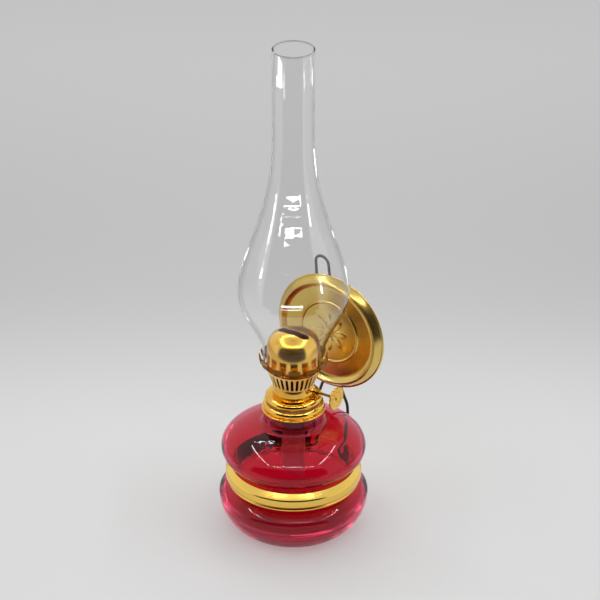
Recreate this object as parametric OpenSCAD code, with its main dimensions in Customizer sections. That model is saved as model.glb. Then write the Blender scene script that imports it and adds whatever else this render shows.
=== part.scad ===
// Flat-wick oil lamp for table or wall, in millimetres.
// Origin at the middle of the foot, +Z up, wall side +Y, knob side +X.

/* [Font] */
// Radius of the foot ring that the lamp stands on
foot_r = 32; // [30:0.5:36]
// Radius of the hollow under the foot
punt_r = 25; // [15:0.5:28]
// Depth of the hollow under the foot
punt_h = 1.4; // [0.6:0.2:2.4]
// Radius of the lower bulge
low_bulge_r = 44.9; // [43:0.1:50]
// Height of the widest line of the lower bulge
low_bulge_z = 21.5; // [18:0.5:30]
// Height from that line up to the waist
low_rise = 7.5; // [5:0.5:12]
// Radius of the waist that the band sits in
waist_r = 36.8; // [34:0.1:39]
// Height of the waist
waist_h = 12.4; // [11:0.2:18]
// Height from the waist up to the widest line of the upper bulge
up_rise = 11.4; // [8:0.2:16]
// Radius of the upper bulge
up_bulge_r = 43.4; // [41:0.1:45]
// Height of the shoulder over the widest line of the upper bulge
shoulder_h = 16.2; // [13:0.2:22]
// Width of the shoulder's curve
shoulder_w = 30; // [26:0.5:32]
// Radius of the neck below the collar
neck_r = 17.9; // [17.4:0.1:18.4]
// Radius of the fillet between shoulder and neck
neck_fillet = 4; // [2:0.2:6]
// Height of the plain neck below the collar
neck_h = 6; // [5:0.5:12]
// Thickness of the glass wall
glass_wall = 3.2; // [2:0.1:4]
// Thickness of the glass floor over the hollow
floor_t = 4.2; // [3:0.2:6]

/* [Collar] */
// Radius of the collar's flange
flange_r = 19; // [18.6:0.1:20]
// Radius of the collar's rounded ring
collar_ring_r = 18.2; // [17.8:0.1:18.6]
// Radius inside the collar, over the plaster
collar_in_r = 15.8; // [15.4:0.1:16]
// Height of the collar
collar_h = 5.2; // [4:0.2:8]
// Length of the screw sleeve inside the neck
sleeve_l = 7; // [4:0.5:9]
// Thickness of the cork washer under the burner
washer_t = 0.6; // [0.4:0.1:1.2]

/* [Burner] */
// Thickness of the pressed brass sheet
sheet = 0.5; // [0.4:0.05:0.7]
// Radius of the burner's screw
screw_r = 12.3; // [11.8:0.1:12.5]
// Length of the burner's screw
screw_l = 4; // [2:0.5:5]
// Radius of the burner cap's bead
cap_r = 16.9; // [16.4:0.1:18]
// Height of the burner cap
cap_h = 4.4; // [3:0.2:6]
// Greatest radius of the barrel
barrel_r = 12.8; // [12.6:0.1:14]
// How much the barrel's ends stand back from its middle
barrel_swell = 0.4; // [0:0.1:0.6]
// Height of the barrel
barrel_h = 7; // [5.8:0.1:9]
// Radius of the air basket's top
basket_top_r = 16; // [15:0.1:17]
// Height of the air basket
basket_h = 10.6; // [8:0.2:14]
// Number of slits round the air basket
slit_count = 30; // [20:1:32]
// Width of a slit
slit_w = 1.6; // [0.8:0.1:1.8]
// Plain rim of the basket above and below the slits
slit_margin = 1; // [0.8:0.1:2]
// Radius of the vapour vent beside the wick tube
vent_r = 1.4; // [1.2:0.1:1.8]

/* [Crown] */
// Number of prongs
prong_count = 12; // [6:1:14]
// Width of the gap between two prongs
prong_gap = 3.8; // [2:0.1:5]
// Height of the prongs over the flared seat
prong_h = 3.6; // [2:0.2:6]
// How far the prong tips flare out from the seat's edge
prong_flare = 0.9; // [0:0.1:1.4]
// How far the flared seat rises from the basket to its edge
seat_rise = 3.8; // [2:0.1:5]
// Turn of the first prong about the lamp's axis
prong_turn = -55; // [-90:0.5:0]

/* [Dome] */
// How far the dome's side stands in from the basket's top
dome_inset = 0.2; // [0.1:0.1:1.4]
// Height of the dome's straight side
dome_side_h = 11.6; // [6:0.2:14]
// Height of the dome's round top
dome_rise = 11; // [9:0.2:18]
// How full the dome's shoulder is, where 0.55 is an ellipse
dome_full = 0.8; // [0.55:0.05:0.9]
// Length of the flame slot
slot_l = 21; // [18:0.2:25]
// Width of the flame slot
slot_w = 5.4; // [3.6:0.2:6.4]

/* [Wick and winder] */
// Width of the flat wick
wick_w = 16; // [14:0.2:16.4]
// Thickness of the wick
wick_t = 2.2; // [1.6:0.1:2.4]
// Length of wick below the burner cap
wick_tail = 52; // [20:1:56]
// Depth of the wick tube's end below the top of the dome
tube_drop = 8.2; // [6:0.2:10]
// Wick standing above its tube
wick_show = 1.6; // [0.5:0.1:3]
// Height of the spindle above the burner cap
spindle_up = 2.8; // [2.75:0.05:3.1]
// Radius of the spindle
spindle_r = 0.8; // [0.7:0.05:1]
// Tip radius of a star wheel
wheel_r = 2.4; // [2:0.1:2.45]
// Teeth on a star wheel
wheel_teeth = 12; // [8:1:16]
// Thickness of a star wheel
wheel_t = 1.6; // [1:0.1:2]
// Distance from the lamp's axis to the knob
knob_x = 27; // [25:0.5:34]
// Radius of the knob
knob_r = 7; // [6:0.1:9]
// Thickness of the knob
knob_t = 1.3; // [1:0.1:2]
// Scallops round the knob
knob_scallops = 30; // [18:3:36]
// Radius of the spindle's bush
bush_r = 1.8; // [1.4:0.1:2.2]
// How far the bush stands out of the barrel
bush_out = 4; // [2:0.5:10]

/* [Chimney] */
// How far the chimney's foot stands out from the basket's top
foot_step = 2; // [1.6:0.1:2.4]
// Height of the straight foot
chimney_foot_h = 4.4; // [3:0.2:9]
// Height from the straight foot up to the widest line of the bulb
bulb_rise = 43.8; // [38:0.2:50]
// Radius of the bulb
bulb_r = 32.8; // [28:0.2:34]
// Height from the bulb's widest line to the straight tube
shoulder_rise = 98.6; // [85:0.2:110]
// Radius of the tube
tube_r = 12.3; // [11:0.1:14]
// Height of the straight tube
tube_h = 55.2; // [40:0.2:70]
// Thickness of the chimney glass
chimney_wall = 1; // [0.8:0.05:1.4]

/* [Band] */
// How far the waist band's side stands out from the waist
band_out = 4.1; // [3.6:0.1:5]
// How far the band's upper edge stays below the top of the waist
band_drop = 0.6; // [0.4:0.1:2.4]
// Height of the band's upper part, which leans in to the waist
band_fold = 3.4; // [2.6:0.1:4]
// Half the angle left open at the back for the legs of the hanger
band_gap = 18; // [16:1:30]

/* [Hanger] */
// Diameter of the hanger's wire
wire_d = 1.8; // [1.4:0.1:2]
// Half the distance between the legs behind the upper bulge
leg_x = 10.4; // [9:0.2:14]
// Radius of the hanging loop at the middle of the wire
loop_r = 4.6; // [4:0.1:7]
// How much further from the middle each leg stands below the reflector than at the loop
leg_spread = 1.4; // [0:0.1:3]
// Height of the loop's middle over the reflector's rim
loop_up = 6.6; // [2:0.2:10]
// Sideways set of the loop, as the legs lean
loop_set = -7.2; // [-10:0.2:0]

/* [Reflector] */
// Height of the reflector's middle over the foot of the crown
reflector_up = 5.4; // [4:0.2:14]
// How far the reflector's front edge stands in from the upper bulge
reflector_in = 7; // [5.4:0.1:7.4]
// Radius of the flat field
field_r = 28.4; // [27:0.2:31]
// How far the front crest stands out from the flat field
crest_out = 4.8; // [4.2:0.1:6.4]
// Depth of the flat field behind the crest
field_depth = 2.5; // [1.5:0.1:3]
// How far the rim stands out from the crest
rim_out = 3.6; // [3:0.1:6]
// Depth of the rim behind the crest
rim_depth = 4.2; // [3.6:0.1:4.6]
// Radius of the raised ring in the field
ring_r = 19.6; // [18:0.2:24]
// Width of each strap on the reflector's back
strap_w = 5; // [3:0.5:7]
// Half the length of each strap
strap_half = 12.6; // [11.6:0.2:15]
// Length of a strap's soldered foot
strap_foot = 3.5; // [2:0.1:4]
// Height of each strap above or below the reflector's middle
strap_up = 10; // [6:0.5:14]

/* [Clearances] */
// Running clearance of the spindle in its bores, on the radius
run_gap = 0.05; // [0.02:0.01:0.09]
// Clearance of the burner's screw in the collar, on the radius
screw_gap = 0.08; // [0.05:0.01:0.1]
// Space between parts that rest on each other but come apart
seat_gap = 0.05; // [0.02:0.01:0.2]
// Space round the wick in its tube
wick_gap = 0.4; // [0.3:0.05:0.6]
// Space between a star wheel's tip and the wick
wheel_gap = 0.3; // [0.3:0.05:0.5]
// Space between the chimney's foot and the prongs
foot_gap = 1.4; // [0.6:0.1:2]
// Space between fixed parts that don't touch
free_gap = 0.3; // [0.2:0.05:0.5]

/* [Hidden] */
$fn = 96;

// Colours
ruby = [0.62, 0.02, 0.09, 0.6];
gilt = [0.90, 0.66, 0.18];
pale_gilt = [0.93, 0.76, 0.32];
satin_brass = [0.78, 0.62, 0.26];
clear = [0.9, 0.95, 0.95, 0.25];

// Radii round the chimney's foot, from the basket's top outwards
dome_r = basket_top_r - dome_inset;
chimney_foot_r = basket_top_r + foot_step;
seat_r = chimney_foot_r + foot_gap + sheet;
prong_tip_r = seat_r + prong_flare;

// Radii of the reflector, from its field outwards
crest_r = field_r + crest_out;
rim_r = crest_r + rim_out;

// Heights, stacked from the foot up
waist_z = low_bulge_z + low_rise;
waist_top_z = waist_z + waist_h;
up_bulge_z = waist_top_z + up_rise;
shoulder_x = up_bulge_r - shoulder_w;
fillet_x = neck_r + neck_fillet;
fillet_turn = acos((fillet_x - shoulder_x) / shoulder_w);
fillet_z = up_bulge_z + shoulder_h * sin(fillet_turn);
neck_z = fillet_z + neck_fillet;
collar_z = neck_z + neck_h;
collar_top_z = collar_z + collar_h;
cap_z = collar_top_z + washer_t + seat_gap;
barrel_z = cap_z + cap_h;
basket_z = barrel_z + barrel_h;
crown_z = basket_z + basket_h;
ledge_z = crown_z + sheet;
seat_slope = seat_rise / (seat_r - sheet - basket_top_r);
chimney_z = ledge_z + seat_slope * (chimney_foot_r - basket_top_r) + 2 * seat_gap;
dome_top_z = ledge_z + dome_side_h + dome_rise;
spindle_z = barrel_z + spindle_up;
bulb_z = chimney_z + chimney_foot_h + bulb_rise;
tube_z = bulb_z + shoulder_rise;
chimney_top_z = tube_z + tube_h;
reflector_z = crown_z + reflector_up;
loop_z = reflector_z + rim_r + loop_up;

// Fits
sleeve_bore_r = screw_r + screw_gap;
sleeve_r = sleeve_bore_r + sheet;
neck_bore_r = sleeve_r + free_gap;
plaster_t = 0.8;
neck_top_r = collar_in_r - plaster_t;
neck_top_z = collar_top_z - sheet - free_gap;
collar_top_r = collar_ring_r - 1.6;
barrel_end_r = barrel_r - barrel_swell;
tube_in = [wick_w + 2 * wick_gap, wick_t + 2 * wick_gap];
tube_out = [tube_in[0] + 2 * sheet, tube_in[1] + 2 * sheet];
tube_top_z = dome_top_z - tube_drop;
spindle_y = wick_t / 2 + wheel_gap + wheel_r;
bore_r = spindle_r + run_gap;
wheel_x = wick_w / 4;
case_x = wheel_x + wheel_t / 2 + 1.6;
case_y = spindle_y + wheel_r + free_gap + sheet;
spindle_tail = 0.4;
basket_tilt = atan((basket_top_r - barrel_end_r) / basket_h);
wire_r = wire_d / 2;
reflector_y = up_bulge_r - reflector_in;
bead_bore_r = wire_r + seat_gap;
bead_r = bead_bore_r + sheet;
bead_x = waist_r + bead_r + seat_gap;
bead_z = waist_z + bead_r;
band_r = waist_r + band_out;
band_z = bead_z + bead_r * 0.7;
band_top = [waist_r + free_gap + sheet, waist_top_z - band_drop];
rim_bead_r = 0.7;
wire_y = reflector_y + rim_depth + rim_bead_r + seat_gap + wire_r;
field_back_y = reflector_y + field_depth + sheet;

// A curve between two points with its two handles
function bezier(p, a, b, q, n) = [
  for (i = [0 : n]) let (t = i / n, u = 1 - t) u * u * u * p + 3 * u * u * t * a + 3 * u * t * t * b + t * t * t * q
];

// A curve that leaves one point and reaches the next upright, with handles of length a and b
function upright(p, q, a, b, n) = bezier(p, p + [0, a], q - [0, b], q, n);

// An arc of an ellipse about a centre
function oval(c, rx, ry, from, to, n) = [
  for (i = [0 : n]) let (t = from + (to - from) * i / n) c + [rx * cos(t), ry * sin(t)]
];

function backwards(list) = [for (i = [len(list) - 1 : -1 : 0]) list[i]];

// A smooth line through points in space, with a few steps between each two
function through(points, steps) = [
  for (i = [1 : len(points) - 3], k = [0 : steps - 1])
    let (t = k / steps, a = points[i - 1], b = points[i], c = points[i + 1], d = points[i + 2])
      b + 0.5 * t * (c - a + t * (2 * a - 5 * b + 4 * c - d + t * (3 * (b - c) + d - a)))
];

// A closed flat outline with round ends
module stadium(size) {
  end_r = size[1] / 2;
  square([size[0] - size[1], size[1]], center = true);
  for (side = [-1, 1])
    translate([side * (size[0] - size[1]) / 2, 0])
      circle(end_r);
}

// A tube ring from inner radius, outer radius and height
module ring(inner_r, outer_r, h) {
  difference() {
    cylinder(r = outer_r, h = h);
    translate([0, 0, -1])
      cylinder(r = inner_r, h = h + 2);
  }
}

// A round wire swept along points in space
module swept_wire(points, r, sides) {
  last = len(points) - 1;
  ways = [
    for (i = [0 : last])
      let (d = points[min(i + 1, last)] - points[max(i - 1, 0)]) d / norm(d)
  ];
  sideways = [
    for (i = 0, s = cross(ways[0], [0, 0, 1]); i <= last;
      i = i + 1, w = ways[min(i, last)], flat = s - (s * w) * w, s = flat / norm(flat))
      s / norm(s)
  ];
  rings = [
    for (i = [0 : last], k = [0 : sides - 1])
      let (a = 360 * k / sides, u = sideways[i], v = cross(ways[i], u))
        points[i] + r * (cos(a) * u + sin(a) * v)
  ];
  walls = [
    for (i = [0 : last - 1], k = [0 : sides - 1])
      let (n = (k + 1) % sides, a = i * sides, b = a + sides)
        each [[a + k, b + k, b + n], [a + k, b + n, a + n]]
  ];
  first_end = [for (k = [0 : sides - 1]) k];
  last_end = [for (k = [sides - 1 : -1 : 0]) last * sides + k];
  polyhedron(rings, concat(walls, [first_end, last_end]), convexity = 10);
}

// Font: two bulges with a waist between them, drawn once for the outside and once inset for the inside
function font_side(inset, foot, foot_handle, n) = concat(
  bezier(foot, foot + foot_handle, [low_bulge_r - inset, low_bulge_z * 0.4], [low_bulge_r - inset, low_bulge_z], n),
  upright([low_bulge_r - inset, low_bulge_z], [waist_r - inset, waist_z], low_rise * 0.6, low_rise * 0.3, n),
  upright([waist_r - inset, waist_top_z], [up_bulge_r - inset, up_bulge_z], up_rise * 0.3, up_rise * 0.6, n)
);

module font() {
  outside = concat(
    [[0, punt_h], [punt_r - 1, punt_h], [punt_r, 0]],
    font_side(0, [foot_r, 0], [3.4, 0.6], 8),
    oval([shoulder_x, up_bulge_z], shoulder_w, shoulder_h, 4, fillet_turn, 12),
    [for (a = [260 : -10 : 180]) [fillet_x, neck_z] + neck_fillet * [cos(a), sin(a)]],
    [[neck_r, collar_z - free_gap], [neck_top_r, collar_z - free_gap], [neck_top_r, neck_top_z]]
  );
  inner_turn = acos((neck_bore_r + 1 - shoulder_x) / (shoulder_w - glass_wall));
  inside = concat(
    [[0, punt_h + floor_t]],
    font_side(glass_wall, [foot_r - 9, punt_h + floor_t], [6, 0.4], 5),
    oval([shoulder_x, up_bulge_z], shoulder_w - glass_wall, shoulder_h - glass_wall, 8, inner_turn, 7),
    [[neck_bore_r, neck_z], [neck_bore_r, neck_top_z]]
  );
  color(ruby)
    rotate_extrude()
      polygon(concat(outside, backwards(inside)));
}

// Waist band: a crowned strip whose lower edge is rolled round the hanger's wire, open at the back
module waist_band() {
  curl = 2.2;
  bend = 0.8;
  crease = [band_r, band_top[1] - band_fold];
  lean = (band_top - crease) / norm(band_top - crease);
  foot = [bead_x + bead_r * 0.75, band_z];
  outer = concat(
    bezier(foot, foot + [0.8, 0.8], [band_r, band_z + curl / 2], [band_r, band_z + curl], 5),
    bezier(crease - [0, bend], crease - [0, bend / 3], crease + lean * bend / 3, crease + lean * bend, 6),
    [band_top]
  );
  inner = [for (p = outer) p - [sheet, 0]];
  color(pale_gilt)
    rotate([0, 0, 90 + band_gap])
      rotate_extrude(angle = 360 - 2 * band_gap)
        difference() {
          union() {
            polygon(concat(outer, backwards(inner)));
            translate([bead_x, bead_z])
              circle(bead_r);
          }
          translate([bead_x, bead_z])
            circle(bead_bore_r);
        }
}

// Hanger: one wire with its ends in the band's rolled edge, two legs up the back and a loop on top
module hanger_wire() {
  leg_top_z = neck_z + 3;
  ends = [
    for (a = [75 : -5 : band_gap])
      [bead_x * sin(a), bead_x * cos(a), bead_z]
  ];
  bulge_y = sqrt(pow(up_bulge_r + wire_r + 2 * free_gap, 2) - leg_x * leg_x);
  leg = through([
    [bead_x * sin(band_gap + 6), bead_x * cos(band_gap + 6), bead_z],
    [bead_x * sin(band_gap), bead_x * cos(band_gap), bead_z],
    [leg_x - 1.4, bead_x - 0.2, bead_z + 0.8],
    [leg_x - 1.4, band_r - 1, bead_z + 3.4],
    [leg_x - 0.8, bulge_y - 1, waist_top_z - 3],
    [leg_x, bulge_y, up_bulge_z - 4],
    [leg_x, bulge_y, up_bulge_z + 8],
    [leg_x - 2, wire_y + 0.4, leg_top_z - 7],
    [loop_r + leg_spread, wire_y, leg_top_z],
    [loop_r + leg_spread, wire_y, leg_top_z + 6],
    [loop_r + leg_spread, wire_y, leg_top_z + 20]
  ], 4);
  climb = loop_z - leg_top_z;
  lean = loop_set / climb;
  function leaned(p) = [p[0] + lean * max(0, p[2] - leg_top_z), p[1], p[2]];
  right = concat(ends, [for (i = [1 : len(leg) - 1]) leg[i]]);
  loop = [for (a = [0 : 15 : 180]) [loop_r * cos(a), wire_y, loop_z + loop_r * sin(a)]];
  left = [for (p = backwards(right)) [-p[0], p[1], p[2]]];
  color([0.16, 0.16, 0.17])
    swept_wire([for (p = concat(right, loop, left)) leaned(p)], wire_r, 10);
}

// Reflector: a spun dish with a flat field, a raised ring in it, a crest and a skirt with a rolled rim
module reflector() {
  rim_mid = [rim_r, -rim_depth];
  skirt_end = rim_mid + rim_bead_r * [cos(120), sin(120)];
  front = concat(
    [[0, -field_depth], [ring_r - 1, -field_depth]],
    [for (i = [1 : 5]) [ring_r - 1 + i / 3, 0.7 * sin(30 * i) - field_depth]],
    [[ring_r + 1, -field_depth]],
    bezier([field_r, -field_depth], [field_r + 3, -field_depth], [crest_r - 1.4, -0.6], [crest_r - 0.5, 0], 6),
    bezier([crest_r + 0.3, 0], [crest_r + 1, -0.2], skirt_end + [-0.45, 0.6], skirt_end, 6)
  );
  rim = oval(rim_mid, rim_bead_r, rim_bead_r, 90, -180, 12);
  back = [for (i = [len(front) - 2 : -1 : 0]) front[i] - [0, sheet]];
  color(satin_brass)
    translate([0, reflector_y, reflector_z])
      rotate([90, 0, 0])
        rotate_extrude()
          polygon(concat(front, rim, back));
}

// Straps soldered to the reflector's back, each bridging both legs of the hanger
module reflector_straps() {
  over_y = wire_y + wire_r + seat_gap;
  step = sheet * 0.8;
  bend_x = strap_half - strap_foot;
  right = [
    [bend_x - step, over_y], [bend_x - step, field_back_y], [strap_half, field_back_y],
    [strap_half, field_back_y + step], [bend_x, field_back_y + step], [bend_x, over_y + step]
  ];
  outline = concat(right, [for (p = backwards(right)) [-p[0], p[1]]]);
  climb = loop_z - neck_z;
  color(satin_brass)
    for (up = [-strap_up, strap_up])
      translate([loop_set * (reflector_z + up - neck_z) / climb, 0, reflector_z + up - strap_w / 2])
        linear_extrude(strap_w)
          polygon(outline);
}

// Collar: a rounded ring and a lip over the glass neck, with the screw sleeve inside
module collar() {
  lip_h = 1.1;
  ring_h = collar_h - lip_h;
  lip = oval([flange_r - 0.5, lip_h / 2], 0.5, lip_h / 2, -90, 70, 6);
  bulge = oval([collar_top_r, lip_h + ring_h / 2], collar_ring_r - collar_top_r, ring_h / 2, -70, 90, 8);
  sleeve = [
    [sleeve_bore_r, collar_h], [sleeve_bore_r, collar_h - sleeve_l], [sleeve_r, collar_h - sleeve_l],
    [sleeve_r, collar_h - sheet], [collar_in_r, collar_h - sheet], [collar_in_r, 0]
  ];
  color(gilt)
    translate([0, 0, collar_z])
      rotate_extrude()
        polygon(concat(lip, bulge, sleeve));
}

// Plaster that beds the collar on the neck
module plaster_bed() {
  color("gainsboro")
    translate([0, 0, collar_z])
      ring(neck_top_r, collar_in_r, neck_top_z - collar_z);
}

// Cork washer between collar and burner cap
module cork_washer() {
  color("peru")
    translate([0, 0, collar_top_z])
      ring(sleeve_bore_r, collar_top_r - 0.6, washer_t);
}

// Burner cap: screw, rounded rim and top plate, with holes for the wick tube and the vent
module burner_cap() {
  bead_w = 2.2;
  plate_z = cap_h - 2 * sheet;
  outline = concat(
    [[0, cap_h]],
    oval([cap_r - bead_w, cap_h / 2], bead_w, cap_h / 2, 90, -90, 12),
    [[screw_r, 0], [screw_r, -screw_l], [screw_r - 1, -screw_l], [screw_r - 1, plate_z], [0, plate_z]]
  );
  color(gilt)
    translate([0, 0, cap_z])
      difference() {
        rotate_extrude()
          polygon(outline);
        linear_extrude(cap_h + 1)
          stadium(tube_out);
        translate([0, vent_y(), 0])
          cylinder(r = vent_r, h = cap_h + 1);
      }
}

function vent_y() = -(tube_out[1] / 2 + vent_r + 2);

// Barrel: a drawn tube with a slight swell, drilled for the spindle's bush
module burner_barrel() {
  steps = 8;
  side = [
    for (i = [0 : steps])
      [barrel_r - barrel_swell * pow(2 * i / steps - 1, 2), barrel_h * i / steps]
  ];
  inner_r = barrel_end_r - sheet;
  color(gilt)
    translate([0, 0, barrel_z])
      difference() {
        rotate_extrude()
          polygon(concat(side, [[inner_r, barrel_h], [inner_r, 0]]));
        translate([0, spindle_y, spindle_up])
          rotate([0, 90, 0])
            cylinder(r = bush_r, h = 2 * barrel_r);
      }
}

// Air basket: a flared sheet cone pierced by round-ended slits
module air_basket() {
  slope_l = basket_h / cos(basket_tilt);
  middle_r = (barrel_end_r + basket_top_r - sheet) / 2;
  color(gilt)
    translate([0, 0, basket_z])
      difference() {
        rotate_extrude()
          polygon([
            [barrel_end_r - sheet, 0], [barrel_end_r, 0], [basket_top_r, basket_h], [basket_top_r - sheet, basket_h]
          ]);
        for (i = [0 : slit_count - 1])
          rotate([0, 0, 360 * i / slit_count])
            translate([middle_r, 0, basket_h / 2])
              rotate([0, 90 + basket_tilt, 0])
                linear_extrude(4 * sheet, center = true)
                  stadium([slope_l - 2 * slit_margin, slit_w]);
      }
}

// Crown: a dished seat for the chimney's foot, with sprung prongs round its edge that flare out a little
module prong_crown() {
  inner_r = dome_r - 1.2;
  edge = 0.4;
  prong_z = seat_rise + sheet;
  tip_z = prong_z + prong_h;
  outline = [
    [inner_r, 0], [basket_top_r, 0], [seat_r - edge, seat_rise], [seat_r, seat_rise + edge], [seat_r, prong_z + edge],
    [prong_tip_r, tip_z], [prong_tip_r - sheet, tip_z], [seat_r - sheet, prong_z + edge],
    [seat_r - sheet, seat_rise + sheet], [basket_top_r, sheet], [inner_r, sheet]
  ];
  color(gilt)
    translate([0, 0, crown_z])
      difference() {
        rotate_extrude()
          polygon(outline);
        for (i = [0 : prong_count - 1])
          rotate([0, 0, prong_turn + 360 * (i + 0.5) / prong_count])
            translate([basket_top_r + 0.7, -prong_gap / 2, sheet + 0.45])
              cube([2 * foot_step + foot_gap + prong_flare, prong_gap, tip_z]);
      }
}

// Dome: a drawn cap with the flame slot across its top
module dome() {
  function side(inset) = let (r = dome_r - inset, rise = dome_rise - inset, top = dome_side_h + rise) concat(
    [[r, 0]],
    bezier([r, dome_side_h], [r, dome_side_h + dome_full * rise], [dome_full * r, top], [0, top], 16)
  );
  color(gilt)
    translate([0, 0, ledge_z])
      difference() {
        rotate_extrude()
          polygon(concat(side(0), backwards(side(sheet))));
        translate([0, 0, dome_side_h])
          linear_extrude(dome_rise + 1)
            stadium([slot_l, slot_w]);
      }
}

// Wick tube: a flat tube through the cap's floor, with a window for each star wheel
module wick_tube() {
  below = 2;
  window_h = 2 * sqrt(wheel_r * wheel_r - pow(spindle_y - tube_out[1] / 2, 2)) + 2 * wick_gap;
  color(gilt)
    difference() {
      translate([0, 0, cap_z - below])
        linear_extrude(tube_top_z - cap_z + below)
          difference() {
            stadium(tube_out);
            stadium(tube_in);
          }
      for (side = [-1, 1])
        translate([side * wheel_x - wheel_t / 2 - wick_gap, 0, spindle_z - window_h / 2])
          cube([wheel_t + 2 * wick_gap, tube_out[1], window_h]);
    }
}

// Vent: a short tube that lets air into the font
module vent_tube() {
  color(gilt)
    translate([0, vent_y(), cap_z - 1])
      ring(vent_r - sheet, vent_r, cap_h + 4);
}

// Wheel case: a folded sheet box on the wick tube with a bearing hole in each cheek
module wheel_case() {
  half_h = wheel_r - 0.1;
  depth = case_y - tube_out[1] / 2;
  color(gilt)
    translate([0, tube_out[1] / 2, spindle_z - half_h])
      difference() {
        translate([-case_x - sheet, 0, 0])
          cube([2 * (case_x + sheet), depth, 2 * half_h]);
        translate([-case_x, -1, -1])
          cube([2 * case_x, depth + 1 - sheet, 2 * half_h + 2]);
        translate([-case_x - 1, spindle_y - tube_out[1] / 2, half_h])
          rotate([0, 90, 0])
            cylinder(r = bore_r, h = 2 * case_x + 2);
      }
}

// Bush: the brass sleeve that carries the spindle out through the barrel
module spindle_bush() {
  bush_in = barrel_r - 3;
  color(gilt)
    translate([bush_in, spindle_y, spindle_z])
      rotate([0, 90, 0])
        ring(bore_r, bush_r, barrel_r + bush_out - bush_in);
}

// Spindle: a plain rod from the far cheek of the wheel case to the knob
module spindle() {
  from_x = -case_x - sheet - spindle_tail;
  color("goldenrod")
    translate([from_x, spindle_y, spindle_z])
      rotate([0, 90, 0])
        cylinder(r = spindle_r, h = knob_x + knob_t - from_x);
}

// Star wheels: toothed discs fixed on the spindle, which climb the wick
module star_wheels() {
  root_r = wheel_r - 0.7;
  star = [
    for (i = [0 : 2 * wheel_teeth - 1])
      let (a = 180 * i / wheel_teeth, r = i % 2 == 0 ? wheel_r : root_r) [r * cos(a), r * sin(a)]
  ];
  color("goldenrod")
    for (side = [-1, 1])
      translate([side * wheel_x - wheel_t / 2, spindle_y, spindle_z])
        rotate([0, 90, 0])
          linear_extrude(wheel_t)
            difference() {
              polygon(star);
              circle(spindle_r);
            }
}

// Knob: a stamped disc with a scalloped edge and a wreath of bosses
module knob() {
  scallop_r = PI * knob_r / knob_scallops * 0.55;
  wreath_r = knob_r * 0.6;
  boss_r = knob_r * 0.17;
  boss_count = round(knob_scallops / 3);
  color(gilt)
    translate([knob_x, spindle_y, spindle_z])
      rotate([0, 90, 0])
        difference() {
          union() {
            linear_extrude(knob_t)
              difference() {
                circle(knob_r);
                for (i = [0 : knob_scallops - 1])
                  rotate(360 * i / knob_scallops)
                    translate([knob_r + scallop_r * 0.4, 0])
                      circle(scallop_r, $fn = 24);
              }
            for (i = [0 : boss_count - 1])
              rotate(360 * i / boss_count)
                translate([wreath_r, 0, knob_t - boss_r * 0.7])
                  sphere(boss_r, $fn = 24);
          }
          translate([0, 0, -1])
            cylinder(r = spindle_r, h = knob_t + 3);
        }
}

// Rivet: the round head that closes the spindle over the knob
module knob_rivet() {
  head_r = 2 * spindle_r;
  head_h = 1;
  color("goldenrod")
    translate([knob_x + knob_t, spindle_y, spindle_z])
      rotate([0, 90, 0])
        rotate_extrude()
          polygon(concat([[0, 0]], oval([0, 0], head_r, head_h, 0, 90, 8)));
}

// Wick: a flat woven strip through the tube, its tail in the font
module wick() {
  tail_z = cap_z - wick_tail;
  color("ivory")
    translate([0, 0, tail_z])
      linear_extrude(tube_top_z + wick_show - tail_z)
        stadium([wick_w, wick_t]);
}

// Chimney: a straight foot, a bulb and a long tube with a melted rim
module chimney() {
  foot_top_z = chimney_z + chimney_foot_h;
  lip_r = chimney_wall / 2;
  function side(inset) = concat(
    [[chimney_foot_r - inset, chimney_z]],
    upright([chimney_foot_r - inset, foot_top_z], [bulb_r - inset, bulb_z], bulb_rise * 0.38, bulb_rise * 0.34, 12),
    upright([bulb_r - inset, bulb_z], [tube_r - inset, tube_z], shoulder_rise * 0.23, shoulder_rise * 0.49, 18)
  );
  lip = oval([tube_r - lip_r, chimney_top_z - lip_r], lip_r, lip_r, 0, 180, 8);
  color(clear)
    rotate_extrude()
      polygon(concat(side(0), lip, backwards(side(chimney_wall))));
}

font();
waist_band();
hanger_wire();
reflector();
reflector_straps();
collar();
plaster_bed();
cork_washer();
burner_cap();
burner_barrel();
air_basket();
prong_crown();
dome();
wick_tube();
vent_tube();
wheel_case();
spindle_bush();
spindle();
star_wheels();
knob();
knob_rivet();
wick();
chimney();
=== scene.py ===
"""Looks of a flat-wick oil lamp.

Ruby glass font, gilt burner, clear chimney and a brass reflector on a wire hanger.
"""

import math

import bmesh
import bpy
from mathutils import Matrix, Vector


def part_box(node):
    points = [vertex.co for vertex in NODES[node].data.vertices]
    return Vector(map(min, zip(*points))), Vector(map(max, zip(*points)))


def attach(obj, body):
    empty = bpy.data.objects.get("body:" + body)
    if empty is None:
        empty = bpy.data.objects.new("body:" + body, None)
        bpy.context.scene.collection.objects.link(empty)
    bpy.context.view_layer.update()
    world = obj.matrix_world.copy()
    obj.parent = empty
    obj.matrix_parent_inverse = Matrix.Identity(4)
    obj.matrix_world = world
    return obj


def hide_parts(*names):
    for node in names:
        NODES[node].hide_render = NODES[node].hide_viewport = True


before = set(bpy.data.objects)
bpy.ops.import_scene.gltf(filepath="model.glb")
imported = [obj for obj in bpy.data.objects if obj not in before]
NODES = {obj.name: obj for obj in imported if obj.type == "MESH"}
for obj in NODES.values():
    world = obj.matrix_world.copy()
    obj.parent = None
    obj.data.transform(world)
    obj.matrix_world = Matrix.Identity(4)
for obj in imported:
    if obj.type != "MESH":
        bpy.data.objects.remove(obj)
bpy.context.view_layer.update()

bl_info = {
    "name": "Flat-wick oil lamp",
    "version": (1, 0, 0),
    "blender": (4, 5, 0),
    "location": "View3D > Sidebar > Oil lamp",
    "description": "Dresses the packed oil lamp in glass, gilt brass and wire, and sets its stage",
    "category": "Object",
}

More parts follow.
